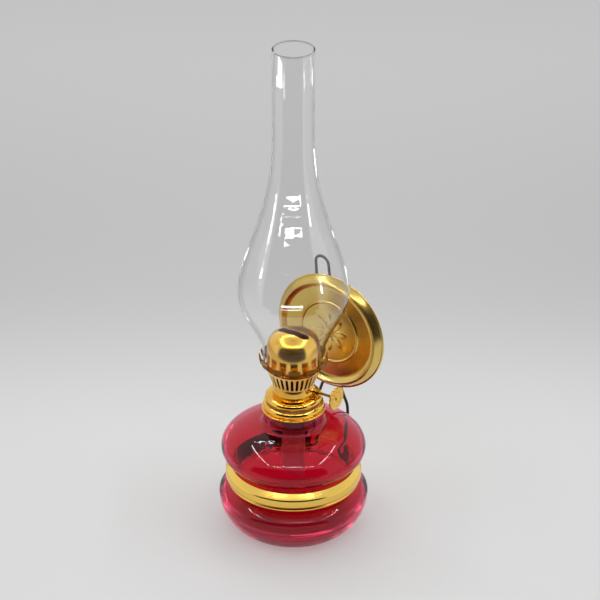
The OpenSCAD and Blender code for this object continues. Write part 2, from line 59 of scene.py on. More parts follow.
# Gilt pieces by finish: name, nodes, roughness of their best and worst spots,
# how round their walls look, and how far their walls look upwards
GILT_NODES = (
    ("Polished gilt", ("collar", "burner_cap", "spindle_bush"), (0.06, 0.14), 0.0, 0.06),
    ("Spun gilt", ("burner_barrel",), (0.12, 0.2), 0.0, -0.03),
    ("Gallery gilt", ("prong_crown",), (0.12, 0.22), 0.0, 0.16),
    ("Drawn gilt", ("dome",), (0.2, 0.26), 0.75, -0.14),
    ("Pierced gilt", ("air_basket",), (0.34, 0.44), 0.0, 0.1),
    ("Stamped gilt", ("knob", "knob_rivet"), (0.2, 0.34), 0.0, 0.0),
)
# Gilt pieces whose inner faces get painted shade
HOLLOW_GILT = ("Drawn gilt", "Pierced gilt")
# Radius of the reflector's plain middle, inside its ring
FIELD_R = 0.0188
# Gridded strips round the chimney, each in short pieces that face it: the turn of its two ends
# from the camera's side and its rise in degrees, the height of the point on the axis that it aims
# at and its own height in metres, and the spread of its grid in degrees
GRIDS = (
    (-53.0, -51.0, -24.5, 0.302, 0.026, 5.0), (-100.0, -66.0, -25.0, 0.306, 0.01, 5.0),
    (60.0, 62.0, -24.5, 0.304, 0.016, 5.0), (115.0, 119.0, -24.5, 0.304, 0.016, 5.0),
    (-79.0, -74.0, -7.0, 0.224, 0.06, 7.0), (-79.0, -74.0, -1.5, 0.207, 0.07, 7.0),
    (57.0, 61.0, -3.0, 0.21, 0.1, 9.0),
    (-41.0, 29.0, -3.3, 0.2205, 0.011, 5.0), (26.0, 29.0, -5.6, 0.2245, 0.026, 5.0),
    (-42.0, 27.0, 0.4, 0.2135, 0.003, 5.0), (-46.0, -42.0, 2.3, 0.211, 0.04, 5.0),
    (-10.0, 27.0, 4.4, 0.206, 0.007, 5.0), (-27.0, 2.0, 5.4, 0.2045, 0.015, 5.0),
    (-24.0, 18.0, -13.6, 0.163, 0.012, 5.0),
)
INNER_NODES = ("wick_tube", "vent_tube", "wheel_case", "spindle", "star_wheels")
# Edges that turn by more than this many degrees stay sharp
CREASE = 32.0
# Faces round a turned piece
AROUND = 160
# Corners of an outline closer than this are one, points closer to the axis than this are on it,
# and vertices closer than this are welded
SAME_CORNER = 0.00001
ON_AXIS = 0.000001
WELD = 0.000002
# Floor: half its width, and how far it lies under the foot
FLOOR_HALF = 4.0
FLOOR_DROP = 0.0002
# Strip lights: length, distance from the axis, height, and height of the point that they aim at
STRIP_LENGTH = 0.5
STRIP_FAR = 0.3
STRIP_HEIGHT = 0.52
STRIP_AIM = 0.06
# Widest piece of a gridded strip, in degrees
GRID_PIECE = 2.5
# Camera: width of its sensor in millimetres, nearest distance seen,
# and sideways shift as a share of the picture
SENSOR = 36.0
CLIP_START = 0.05
SHIFT = 6.5 / 600.0
# Light tent: its walls low and high, its open front, and what is seen past the lamp
WALL_LOW = (1.0, 1.0, 1.0, 1.0)
WALL_HIGH = (0.8, 0.8, 0.8, 1.0)
OPEN_FRONT = (0.03, 0.022, 0.018, 1.0)
PAST_LAMP = (0.52, 0.52, 0.524, 1.0)
# Painted shade on the inner faces of the hollow gilt pieces and on the band where it faces the glass, and
# colours of hidden brass
HOLLOW_PAINTED_SHADE = (0.5, 0.13, 0.05, 1.0)
BAND_PAINTED_SHADE = (0.1, 0.06, 0.02, 1.0)
PLAIN_BRASS = ((0.5, 0.27, 0.07, 1.0), (0.25, 0.13, 0.04, 1.0))
# How strongly the thin walls bend light, and how strongly the chimney mirrors
FONT_IOR = 1.1
CHIMNEY_IOR = 1.06
CHIMNEY_COAT_IOR = 1.6
# Rosette: reach between its leaves, and what a leaf's tip adds
LEAF_ROOT = 0.0045
LEAF_LENGTH = 0.0085
# Wick: steps in each rounded edge and along each flat side, and depth of the weave
WICK_EDGE = 10
WICK_FLAT = 20
WEAVE_DEPTH = 0.00006


# Sizes and colours that a user would change
class LampFinish(bpy.types.PropertyGroup):
    """Colours and surface detail of the lamp's pieces."""

    ruby: bpy.props.FloatVectorProperty(
        name="Ruby glass", description="Colour of the font's glass",
        subtype="COLOR", size=4, default=(0.77, 0.05, 0.14, 1.0), min=0.0, max=1.0)
    clear: bpy.props.FloatVectorProperty(
        name="Clear glass", description="Colour of the chimney's glass",
        subtype="COLOR", size=4, default=(0.985, 0.985, 0.985, 1.0), min=0.0, max=1.0)
    # The deep ruby also darkens the font's foot: thick glass there, and painted shade for the contact
    # shadow under the font
    ruby_deep: bpy.props.FloatVectorProperty(
        name="Deep ruby", description="Colour of the font's glass in its thick neck",
        subtype="COLOR", size=4, default=(0.24, 0.008, 0.03, 1.0), min=0.0, max=1.0)
    clear_deep: bpy.props.FloatVectorProperty(
        name="Clear glass edge", description="Colour of the chimney's glass at its rim and seen edge on",
        subtype="COLOR", size=4, default=(0.5, 0.51, 0.51, 1.0), min=0.0, max=1.0)
    gilt: bpy.props.FloatVectorProperty(
        name="Gilt", description="Colour of the burner where it is bright",
        subtype="COLOR", size=4, default=(0.96, 0.63, 0.13, 1.0), min=0.0, max=1.0)
    gilt_deep: bpy.props.FloatVectorProperty(
        name="Deep gilt", description="Colour of the burner where the lacquer is thick",
        subtype="COLOR", size=4, default=(0.84, 0.45, 0.06, 1.0), min=0.0, max=1.0)
    # Painted shade: darker gilt for the crown's upright walls, standing in for the dark that they mirror
    gilt_painted_shade: bpy.props.FloatVectorProperty(
        name="Shaded gilt", description="Colour of the crown's upright walls",
        subtype="COLOR", size=4, default=(0.2, 0.085, 0.018, 1.0), min=0.0, max=1.0)
    # Painted light: paler gilt that makes the basket's bars look as if they catch the light
    gilt_painted_light: bpy.props.FloatVectorProperty(
        name="Pale gilt", description="Colour of the basket's bars where the punch left them bright",
        subtype="COLOR", size=4, default=(1.0, 0.82, 0.42, 1.0), min=0.0, max=1.0)
    band: bpy.props.FloatVectorProperty(
        name="Band", description="Colour of the waist band",
        subtype="COLOR", size=4, default=(0.94, 0.63, 0.13, 1.0), min=0.0, max=1.0)
    reflector: bpy.props.FloatVectorProperty(
        name="Reflector", description="Colour of the reflector's brass",
        subtype="COLOR", size=4, default=(0.78, 0.6, 0.2, 1.0), min=0.0, max=1.0)
    reflector_deep: bpy.props.FloatVectorProperty(
        name="Reflector lacquer", description="Colour of the reflector where its lacquer is thick",
        subtype="COLOR", size=4, default=(0.68, 0.48, 0.12, 1.0), min=0.0, max=1.0)
    wire: bpy.props.FloatVectorProperty(
        name="Wire", description="Colour of the hanger's lacquer",
        subtype="COLOR", size=4, default=(0.02, 0.02, 0.022, 1.0), min=0.0, max=1.0)
    cotton: bpy.props.FloatVectorProperty(
        name="Cotton", description="Colour of the wick",
        subtype="COLOR", size=4, default=(0.88, 0.84, 0.76, 1.0), min=0.0, max=1.0)
    # Painted light: a red tint on the wick's tail, for the red light that reaches it through the ruby glass
    painted_red_light: bpy.props.FloatVectorProperty(
        name="Soaked", description="Colour of the wick's tail, soaked with tinted oil",
        subtype="COLOR", size=4, default=(0.9, 0.4, 0.34, 1.0), min=0.0, max=1.0)
    press: bpy.props.FloatProperty(
        name="Rosette", description="How far the rosette stands out of the reflector",
        unit="LENGTH", default=0.00035, min=0.0, max=0.001)
    weave: bpy.props.FloatProperty(
        name="Weave", description="Pitch of the wick's weave",
        unit="LENGTH", default=0.0008, min=0.0002)


class LampStage(bpy.types.PropertyGroup):
    """Floor, light and camera."""

    floor: bpy.props.FloatVectorProperty(
        name="Floor", description="Colour of the floor",
        subtype="COLOR", size=4, default=(0.72, 0.72, 0.722, 1.0), min=0.0, max=1.0)
    # Painted shade and light on the flat floor: darker in a band behind the lamp, lighter far behind it
    painted_shade_band: bpy.props.FloatVectorProperty(
        name="Sweep", description="Colour of the floor where it turns up behind the lamp",
        subtype="COLOR", size=4, default=(0.59, 0.59, 0.595, 1.0), min=0.0, max=1.0)
    painted_light_far: bpy.props.FloatVectorProperty(
        name="Backdrop", description="Colour of the floor far behind the lamp",
        subtype="COLOR", size=4, default=(0.8, 0.8, 0.805, 1.0), min=0.0, max=1.0)
    front: bpy.props.FloatProperty(
        name="Front edge", description="How far the floor reaches in front of the lamp",
        unit="LENGTH", default=0.28)
    walls: bpy.props.FloatProperty(
        name="Walls", description="Brightness of the white walls round the table", default=0.86, min=0.0)
    strip_power: bpy.props.FloatProperty(
        name="Strip power", description="Power of each strip light", unit="POWER", default=0.45, min=0.0)
    strip_width: bpy.props.FloatProperty(
        name="Strip width", description="Width of each strip light",
        unit="LENGTH", default=0.012, min=0.001)
    grid_light: bpy.props.FloatProperty(
        name="Grid light", description="How bright the gridded strips look along their axis",
        default=24.0, min=0.0)
    grid_far: bpy.props.FloatProperty(
        name="Grid distance", description="Distance of the gridded strips from the lamp's axis",
        unit="LENGTH", default=0.5, min=0.1)
    azimuth: bpy.props.FloatProperty(
        name="Azimuth", description="Side that the camera stands on",
        subtype="ANGLE", default=math.radians(33.5))
    pitch: bpy.props.FloatProperty(
        name="Pitch", description="How far the camera looks down",
        subtype="ANGLE", default=math.radians(28.5))
    distance: bpy.props.FloatProperty(
        name="Distance", description="Level distance from the lamp's axis",
        unit="LENGTH", default=1.54178)
    height: bpy.props.FloatProperty(
        name="Height", description="Height of the camera",
        unit="LENGTH", default=0.98814)
    lens: bpy.props.FloatProperty(
        name="Lens", description="Focal length", unit="CAMERA", default=180.0)


# Short calls for node trees
class Tree:
    """Adds and joins nodes in one tree."""

    def __init__(self, tree):
        self.nodes = tree.nodes
        self.links = tree.links

    def add(self, kind, **settings):
        node = self.nodes.new(kind)
        for name, value in settings.items():
            setattr(node, name, value)
        return node

    def put(self, socket, value):
        if isinstance(value, bpy.types.NodeSocket):
            self.links.new(value, socket)
        else:
            socket.default_value = value

    def math(self, operation, a, b=0.0):
        node = self.add("ShaderNodeMath", operation=operation)
        self.put(node.inputs[0], a)
        self.put(node.inputs[1], b)
        return node.outputs[0]

    def vector(self, operation, a, b=None):
        node = self.add("ShaderNodeVectorMath", operation=operation)
        self.put(node.inputs[0], a)
        if b is not None:
            self.put(node.inputs[1], b)
        return node.outputs["Value" if operation == "DOT_PRODUCT" else 0]

    def axes(self, vector):
        node = self.add("ShaderNodeSeparateXYZ")
        self.put(node.inputs[0], vector)
        return node.outputs

    def blend(self, share, a, b):
        node = self.add("ShaderNodeMix", data_type="RGBA")
        self.put(node.inputs[0], share)
        self.put(node.inputs[6], a)
        self.put(node.inputs[7], b)
        return node.outputs[2]

    def step(self, value, low, high, to_low=0.0, to_high=1.0):
        node = self.add("ShaderNodeMapRange", interpolation_type="SMOOTHSTEP")
        for socket, number in zip(node.inputs, (value, low, high, to_low, to_high)):
            self.put(socket, number)
        return node.outputs[0]

    def noise(self, vector, scale, detail=2.0, roughness=0.5):
        node = self.add("ShaderNodeTexNoise")
        self.put(node.inputs["Vector"], vector)
        self.put(node.inputs["Scale"], scale)
        node.inputs["Detail"].default_value = detail
        node.inputs["Roughness"].default_value = roughness
        return node.outputs["Fac"]

    def bump(self, height, strength, distance):
        node = self.add("ShaderNodeBump")
        self.put(node.inputs["Height"], height)
        node.inputs["Strength"].default_value = strength
        node.inputs["Distance"].default_value = distance
        return node.outputs["Normal"]

    def group(self, tree, **values):
        node = self.add("ShaderNodeGroup", node_tree=tree)
        for name, value in values.items():
            self.put(node.inputs[name.replace("_", " ").capitalize()], value)
        return node.outputs


def new_group(name, inputs, outputs):
    """An empty shader group with float sockets; gives its tree helper, its inputs and its output node."""
    tree = bpy.data.node_groups.new(name, "ShaderNodeTree")
    for label, value in inputs:
        socket = tree.interface.new_socket(label, in_out="INPUT", socket_type="NodeSocketFloat")
        socket.default_value = value
    for label in outputs:
        tree.interface.new_socket(label, in_out="OUTPUT", socket_type="NodeSocketFloat")
    helper = Tree(tree)
    return tree, helper, helper.add("NodeGroupInput").outputs, helper.add("NodeGroupOutput").inputs


def drawn_metal():
    """Pressed and polished sheet: cloudy lacquer, fine turning marks, small dents."""
    name = "Drawn metal"
    if name in bpy.data.node_groups:
        return bpy.data.node_groups[name]
    tree, t, given, out = new_group(
        name, [("Cloud scale", 60.0), ("Rough low", 0.06), ("Rough high", 0.2), ("Turning", 1.0)],
        ["Cloud", "Roughness", "Height"])
    where = t.add("ShaderNodeTexCoord").outputs["Object"]
    cloud = t.step(t.noise(where, given["Cloud scale"], 4.0, 0.6), 0.35, 0.68)
    scuff = t.step(t.noise(where, 900.0, 3.0, 0.65), 0.45, 0.75)
    ring = t.add("ShaderNodeTexNoise", noise_dimensions="1D")
    t.put(ring.inputs["W"], t.math("MULTIPLY", t.axes(where)["Z"], 4200.0))
    ring.inputs["Scale"].default_value = 1.0
    turning = t.math("MULTIPLY", ring.outputs["Fac"], given["Turning"])
    share = t.math("ADD", t.math("MULTIPLY", cloud, 0.55), t.math("MULTIPLY", scuff, 0.45))
    span = t.math("SUBTRACT", given["Rough high"], given["Rough low"])
    t.put(out["Cloud"], cloud)
    t.put(out["Roughness"], t.math("ADD", given["Rough low"], t.math("MULTIPLY", share, span)))
    dents = t.noise(where, 170.0, 2.0)
    t.put(out["Height"], t.math("ADD", dents, t.math("MULTIPLY", turning, 0.12)))
    return tree


def blown_glass():
    """Glass skin: slow waves from the mould, and faint smears of handling."""
    name = "Blown glass"
    if name in bpy.data.node_groups:
        return bpy.data.node_groups[name]
    tree, t, given, out = new_group(
        name, [("Wave scale", 30.0), ("Rough low", 0.0), ("Rough high", 0.05)], ["Roughness", "Height"])
    where = t.add("ShaderNodeTexCoord").outputs["Object"]
    smear = t.step(t.noise(where, 45.0, 4.0, 0.6), 0.5, 0.8)
    span = t.math("SUBTRACT", given["Rough high"], given["Rough low"])
    t.put(out["Roughness"], t.math("ADD", given["Rough low"], t.math("MULTIPLY", smear, span)))
    t.put(out["Height"], t.noise(where, given["Wave scale"], 1.0))
    return tree


def pressed_wall():
    """Normals of a pressed wall: turned up a little, and blended with those of a ball round a centre."""
    name = "Pressed wall"
    if name in bpy.data.node_groups:
        return bpy.data.node_groups[name]
    tree = bpy.data.node_groups.new(name, "ShaderNodeTree")
    sockets = {"Centre": "NodeSocketVector", "Round": "NodeSocketFloat", "Lift": "NodeSocketVector"}
    for label, kind in sockets.items():
        tree.interface.new_socket(label, in_out="INPUT", socket_type=kind)
    tree.interface.new_socket("Normal", in_out="OUTPUT", socket_type="NodeSocketVector")
    t = Tree(tree)
    given = t.add("NodeGroupInput").outputs
    where = t.add("ShaderNodeTexCoord").outputs["Object"]
    ball = t.vector("NORMALIZE", t.vector("SUBTRACT", where, given["Centre"]))
    mix = t.add("ShaderNodeMix", data_type="VECTOR")
    t.put(mix.inputs[0], given["Round"])
    t.put(mix.inputs[4], t.add("ShaderNodeNewGeometry").outputs["Normal"])
    t.put(mix.inputs[5], ball)
    lifted = t.vector("NORMALIZE", t.vector("ADD", mix.outputs[1], given["Lift"]))
    t.put(t.add("NodeGroupOutput").inputs[0], lifted)
    return tree


def spun_sheet():
    """Spun sheet seen along Y: fine rings round its middle."""
    name = "Spun sheet"
    if name in bpy.data.node_groups:
        return bpy.data.node_groups[name]
    tree = bpy.data.node_groups.new(name, "ShaderNodeTree")
    tree.interface.new_socket("Vector", in_out="INPUT", socket_type="NodeSocketVector")
    tree.interface.new_socket("Height", in_out="OUTPUT", socket_type="NodeSocketFloat")
    t = Tree(tree)
    level = t.vector("MULTIPLY", t.add("NodeGroupInput").outputs[0], (1.0, 0.0, 1.0))
    length = t.add("ShaderNodeVectorMath", operation="LENGTH")
    t.put(length.inputs[0], level)
    fine = t.add("ShaderNodeTexNoise", noise_dimensions="1D")
    t.put(fine.inputs["W"], t.math("MULTIPLY", length.outputs["Value"], 3600.0))
    fine.inputs["Scale"].default_value = 1.0
    t.put(t.add("NodeGroupOutput").inputs[0], t.math("MULTIPLY", fine.outputs["Fac"], 0.05))
    return tree


def new_material(name):
    """A new material; gives it, its helper, its Principled node and the output joined to that."""
    material = bpy.data.materials.new(name)
    material.use_nodes = True
    material.node_tree.nodes.clear()
    t = Tree(material.node_tree)
    shader = t.add("ShaderNodeBsdfPrincipled")
    output = t.add("ShaderNodeOutputMaterial")
    t.links.new(shader.outputs[0], output.inputs["Surface"])
    return material, t, shader, output


def metal(name, bright, deep, cloud_scale, rough, turning, dent):
    """Lacquered brass between two tints."""
    material, t, shader, _ = new_material(name)
    made = t.group(
        drawn_metal(), cloud_scale=cloud_scale, rough_low=rough[0], rough_high=rough[1], turning=turning)
    shader.inputs["Metallic"].default_value = 1.0
    t.put(shader.inputs["Base Color"], t.blend(made["Cloud"], bright, deep))
    t.put(shader.inputs["Roughness"], made["Roughness"])
    t.put(shader.inputs["Normal"], t.bump(made["Height"], dent, 0.0004))
    return material, t, shader


def inner_faces(t):
    """A mask of the faces that look towards the lamp's axis."""
    where = t.add("ShaderNodeNewGeometry").outputs
    level = t.vector("MULTIPLY", where["Position"], (1.0, 1.0, 0.0))
    return t.step(t.vector("DOT_PRODUCT", level, where["True Normal"]), -0.004, -0.001, 1.0, 0.0)


def paint_inner_shade(t, shader, dark):
    """Paints shade on the faces that look towards the lamp's axis: darkens and dulls them."""
    inside = inner_faces(t)
    bright = shader.inputs["Base Color"].links[0].from_socket
    t.put(shader.inputs["Base Color"], t.blend(inside, bright, dark))
    rough = shader.inputs["Roughness"].links[0].from_socket
    t.put(shader.inputs["Roughness"], t.math("MAXIMUM", rough, t.math("MULTIPLY", inside, 0.6)))
    t.put(shader.inputs["Metallic"], t.math("SUBTRACT", 1.0, inside))


def glass(name, tint, deep, thick_z, rim, shade, rough, wave_scale, wave):
    """Glass that lets light through in its own colour, deeper where it is thick or seen edge on."""
    material, t, shader, output = new_material(name)
    made = t.group(blown_glass(), wave_scale=wave_scale, rough_low=rough[0], rough_high=rough[1])
    height = t.axes(t.add("ShaderNodeTexCoord").outputs["Object"])["Z"]
    edge = t.add("ShaderNodeLayerWeight").outputs["Facing"]
    thick = t.step(edge, 0.5, 0.95, 0.0, rim)
    for start, end in thick_z:
        thick = t.math("MAXIMUM", thick, t.step(height, start, end))
    t.put(shader.inputs["Base Color"], t.blend(thick, tint, deep))
    shader.inputs["Transmission Weight"].default_value = 1.0
    t.put(shader.inputs["Roughness"], made["Roughness"])
    t.put(shader.inputs["Normal"], t.bump(made["Height"], wave, 0.001))
    through = t.add("ShaderNodeBsdfTransparent")
    through.inputs["Color"].default_value = shade
    mix = t.add("ShaderNodeMixShader")
    path = t.add("ShaderNodeLightPath").outputs
    t.put(mix.inputs[0], t.math("MAXIMUM", path["Is Shadow Ray"], path["Is Diffuse Ray"]))
    t.links.new(shader.outputs[0], mix.inputs[1])
    t.links.new(through.outputs[0], mix.inputs[2])
    t.links.new(mix.outputs[0], output.inputs["Surface"])
    return material, t, shader


def dress(node, material):
    """Gives a CAD node its material, and shades it smooth except at edges sharper than the crease angle."""
    piece = NODES[node]
    mesh = piece.data
    mesh.materials.clear()
    mesh.materials.append(material)
    if "custom_normal" in mesh.attributes:
        mesh.attributes.remove(mesh.attributes["custom_normal"])
    mesh.shade_smooth()
    weld = piece.modifiers.new("Weld", "WELD")
    weld.merge_threshold = WELD
    split = piece.modifiers.new("Crease", "EDGE_SPLIT")
    split.split_angle = math.radians(CREASE)


def profile_of(node):
    """Outline of a turned node in order, as (radius, height), and whether it is closed."""
    mesh = NODES[node].data
    corners, index = [], []
    for vertex in mesh.vertices:
        spot = Vector((math.hypot(vertex.co.x, vertex.co.y), vertex.co.z))
        found = next((i for i, corner in enumerate(corners) if (corner - spot).length < SAME_CORNER), None)
        if found is None:
            found = len(corners)
            corners.append(spot)
        index.append(found)
    beside = {i: set() for i in range(len(corners))}
    for edge in mesh.edges:
        a, b = (index[v] for v in edge.vertices)
        if a != b:
            beside[a].add(b)
            beside[b].add(a)
    ends = [i for i, near in beside.items() if len(near) == 1]
    order = [ends[0] if ends else 0]
    while True:
        onward = [i for i in beside[order[-1]] if i not in order]
        if not onward:
            break
        order.append(onward[0])
    outline = [corners[i] for i in order]
    if ends:
        return [Vector((0.0, outline[0].y))] + outline + [Vector((0.0, outline[-1].y))], False
    return outline, True


def smoothed(outline, closed, parts, crease):
    """A curve through an outline's corners, straight where they turn by more than the crease angle."""
    count = len(outline)

    def corner(i):
        return outline[i % count] if closed else outline[min(max(i, 0), count - 1)]

    def heading(i, along):
        before, after = corner(i) - corner(i - 1), corner(i + 1) - corner(i)
        if before.length == 0.0 or after.length == 0.0 or before.angle(after) > crease:
            return along
        return (before + after) / (before.length + after.length)

    points, sharp = [], set()
    for i in range(count if closed else count - 1):
        p, q = corner(i), corner(i + 1)
        along = (q - p).normalized()
        if heading(i, None) is None:
            sharp.add(len(points))
        a, b = heading(i, along) * (q - p).length, heading(i + 1, along) * (q - p).length
        for k in range(parts):
            s = k / parts
            points.append(
                (2 * s**3 - 3 * s**2 + 1) * p + (s**3 - 2 * s**2 + s) * a
                + (3 * s**2 - 2 * s**3) * q + (s**3 - s**2) * b)
    if not closed:
        points.append(outline[-1])
    return points, sharp


def object_from(bm, name):
    """Ends the building of a mesh and links an object made of it."""
    mesh = bpy.data.meshes.new(name)
    bm.to_mesh(mesh)
    bm.free()
    piece = bpy.data.objects.new(name, mesh)
    bpy.context.collection.objects.link(piece)
    return piece


def turned(node, name, parts, around=AROUND):
    """A fine turned copy of a node's outline, to stand in for its coarser rings."""
    outline, closed = profile_of(node)
    points, sharp = smoothed(outline, closed, parts, math.radians(CREASE))
    widest = max(point.x for point in outline)
    lowest, highest = min(point.y for point in outline), max(point.y for point in outline)
    for point in points:
        point.x = min(point.x, widest)
        point.y = min(max(point.y, lowest), highest)
    bm = bmesh.new()
    rings = []
    for point in points:
        if point.x < ON_AXIS:
            rings.append([bm.verts.new((0.0, 0.0, point.y))])
            continue
        turns = (2.0 * math.pi * k / around for k in range(around))
        rings.append([bm.verts.new((point.x * math.cos(a), point.x * math.sin(a), point.y)) for a in turns])
    pairs = list(zip(rings, rings[1:] + rings[:1] if closed else rings[1:]))
    for low, high in pairs:
        for k in range(around):
            n = (k + 1) % around
            loop = [low[k % len(low)], low[n % len(low)], high[n % len(high)], high[k % len(high)]]
            bm.faces.new(list(dict.fromkeys(loop)))
    bmesh.ops.recalc_face_normals(bm, faces=bm.faces)
    for i in sharp:
        ring = set(rings[i])
        for vertex in rings[i]:
            for edge in vertex.link_edges:
                if edge.other_vert(vertex) in ring:
                    edge.smooth = False
    for face in bm.faces:
        face.smooth = True
    return object_from(bm, name)


def between(value, start, end):
    """How far a value has gone from start to end, from 0 to 1."""
    return min(max((value - start) / (end - start), 0.0), 1.0)


def pressed_rosette(middle, depth):
    """An eight-leaved rosette standing out of a sheet towards -Y, with hollow leaves and a round heart."""
    around, steps = 256, 26
    bm = bmesh.new()
    rings = []
    for step in range(1, steps + 1):
        share = step / steps
        ring = []
        for k in range(around):
            angle = 2.0 * math.pi * k / around
            tip = LEAF_ROOT + LEAF_LENGTH * abs(math.cos(4.0 * angle))
            far = share * tip
            rim = between(share, 1.0, 0.8)
            hollow = 0.55 * between(share, 0.62, 0.42)
            boss = 0.9 * between(far, 0.0032, 0.0026)
            height = rim - hollow + boss
            y = -depth * height if step < steps else depth / 4.0
            ring.append(bm.verts.new(middle + Vector((far * math.sin(angle), y, far * math.cos(angle)))))
        rings.append(ring)
    heart = bm.verts.new(middle + Vector((0.0, -depth * 1.35, 0.0)))
    back = bm.verts.new(middle + Vector((0.0, depth / 2.0, 0.0)))
    for k in range(around):
        n = (k + 1) % around
        bm.faces.new((heart, rings[0][k], rings[0][n]))
        bm.faces.new((back, rings[-1][n], rings[-1][k]))
        for a, b in zip(rings, rings[1:]):
            bm.faces.new((a[k], b[k], b[n], a[n]))
    bmesh.ops.recalc_face_normals(bm, faces=bm.faces)
    rosette = object_from(bm, "pressed_rosette")
    rosette.data.shade_smooth()
    return rosette


def stand_in(piece, node, body, material):
    """Lets a piece of this script take a CAD node's place on a body."""
    piece.data.materials.append(material)
    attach(piece, body)
    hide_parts(node)


class LAMP_OT_stage(bpy.types.Operator):
    """Sets floor, light tent and camera."""

    bl_idname = "lamp.stage"
    bl_label = "Stage"

    def execute(self, context):
        stage = context.scene.lamp_stage
        self.floor(context, stage)
        self.tent(context, stage)
        self.strips(context, stage)
        self.grids(context, stage)
        self.camera(context, stage)
        context.scene.view_settings.view_transform = "Standard"
        return {"FINISHED"}

    def floor(self, context, stage):
        half = FLOOR_HALF
        corners = ((-half, -stage.front), (half, -stage.front), (half, half), (-half, half))
        bm = bmesh.new()
        bm.faces.new([bm.verts.new((x, y, -FLOOR_DROP)) for x, y in corners])
        floor = object_from(bm, "floor")
        floor.rotation_euler.z = stage.azimuth
        material, t, shader, _ = new_material("Pale floor")
        where = t.add("ShaderNodeTexCoord").outputs["Object"]
        grain = t.noise(where, 350.0, 3.0)
        # Painted shade and light: the flat floor darkens in a band behind the lamp and lightens far behind
        # it
        ahead = t.axes(where)["Y"]
        painted_shade_band = t.blend(t.step(ahead, 0.08, 0.3), stage.floor, stage.painted_shade_band)
        colour = t.blend(t.step(ahead, 0.3, 0.75), painted_shade_band, stage.painted_light_far)
        t.put(shader.inputs["Base Color"], colour)
        t.put(shader.inputs["Roughness"], t.step(grain, 0.2, 0.8, 0.55, 0.7))
        shader.inputs["Specular IOR Level"].default_value = 0.2
        floor.data.materials.append(material)

    def tent(self, context, stage):
        world = bpy.data.worlds.new("Light tent")
        world.use_nodes = True
        context.scene.world = world
        world.node_tree.nodes.clear()
        t = Tree(world.node_tree)
        turn = t.add("ShaderNodeVectorRotate", rotation_type="Z_AXIS")
        t.put(turn.inputs["Vector"], t.add("ShaderNodeTexCoord").outputs["Generated"])
        turn.inputs["Angle"].default_value = -stage.azimuth
        across, ahead, up = t.axes(turn.outputs[0])
        near = t.math("MAXIMUM", t.math("MULTIPLY", ahead, -1.0), 0.02)
        side = t.math("DIVIDE", across, near)
        rise = t.math("DIVIDE", up, near)
        mouth = t.math("MULTIPLY", t.step(side, 1.15, 1.45, 1.0, 0.0), t.step(side, -2.6, -2.0))
        mouth = t.math("MULTIPLY", mouth, t.step(rise, 1.0, 1.25, 1.0, 0.0))
        wall = t.blend(t.step(up, 0.2, 0.95), WALL_LOW, WALL_HIGH)
        seen = t.blend(mouth, wall, OPEN_FRONT)
        lit = t.add("ShaderNodeBackground")
        t.put(lit.inputs["Color"], seen)
        lit.inputs["Strength"].default_value = stage.walls
        plain = t.add("ShaderNodeBackground")
        plain.inputs["Color"].default_value = PAST_LAMP
        mix = t.add("ShaderNodeMixShader")
        path = t.add("ShaderNodeLightPath").outputs
        bounces = t.math("ADD", path["Glossy Depth"], path["Diffuse Depth"])
        t.put(mix.inputs[0], t.step(bounces, 0.0, 1.0, 1.0, 0.0))
        t.links.new(lit.outputs[0], mix.inputs[1])
        t.links.new(plain.outputs[0], mix.inputs[2])
        t.links.new(mix.outputs[0], t.add("ShaderNodeOutputWorld").inputs["Surface"])

    def strips(self, context, stage):
        for number, turn in enumerate((0.0, 90.0, 180.0, 270.0)):
            lamp = bpy.data.lights.new(f"strip.{number}", "AREA")
            lamp.shape = "RECTANGLE"
            lamp.size = STRIP_LENGTH
            lamp.size_y = stage.strip_width
            lamp.energy = stage.strip_power
            strip = bpy.data.objects.new(lamp.name, lamp)
            angle = stage.azimuth + math.radians(turn)
            strip.location = (STRIP_FAR * math.sin(angle), -STRIP_FAR * math.cos(angle), STRIP_HEIGHT)
            aim = Vector((0.0, 0.0, STRIP_AIM)) - strip.location
            strip.rotation_euler = aim.to_track_quat("-Z", "Y").to_euler()
            context.collection.objects.link(strip)

    def grids(self, context, stage):
        for number, (first, last, rise, aim_z, height, spread) in enumerate(GRIDS):
            count = math.ceil((last - first) / GRID_PIECE)
            share = math.radians((last - first) / count)
            half = math.radians(spread) / 2.0
            for piece in range(count):
                lamp = bpy.data.lights.new(f"grid.{number}.{piece}", "AREA")
                lamp.shape = "RECTANGLE"
                lamp.size = stage.grid_far * share
                lamp.size_y = height
                power = stage.grid_light * lamp.size * height * math.pi
                lamp.energy = power * (1.0 - half / math.tan(half))
                lamp.spread = 2.0 * half
                grid = bpy.data.objects.new(lamp.name, lamp)
                angle = stage.azimuth + math.radians(first) + share * (piece + 0.5)
                up = math.radians(rise)
                level = math.cos(up)
                away = Vector((math.sin(angle) * level, -math.cos(angle) * level, math.sin(up)))
                grid.location = Vector((0.0, 0.0, aim_z)) + away * stage.grid_far
                grid.rotation_euler = (-away).to_track_quat("-Z", "Y").to_euler()
                context.collection.objects.link(grid)

    def camera(self, context, stage):
        data = bpy.data.cameras.new("camera")
        data.sensor_width = SENSOR
        data.lens = stage.lens
        data.shift_x = SHIFT
        data.clip_start = CLIP_START
        camera = bpy.data.objects.new("camera", data)
        a = stage.azimuth
        camera.location = (math.sin(a) * stage.distance, -math.cos(a) * stage.distance, stage.height)
        camera.rotation_euler = (math.radians(90.0) - stage.pitch, 0.0, a)
        context.collection.objects.link(camera)
        context.scene.camera = camera


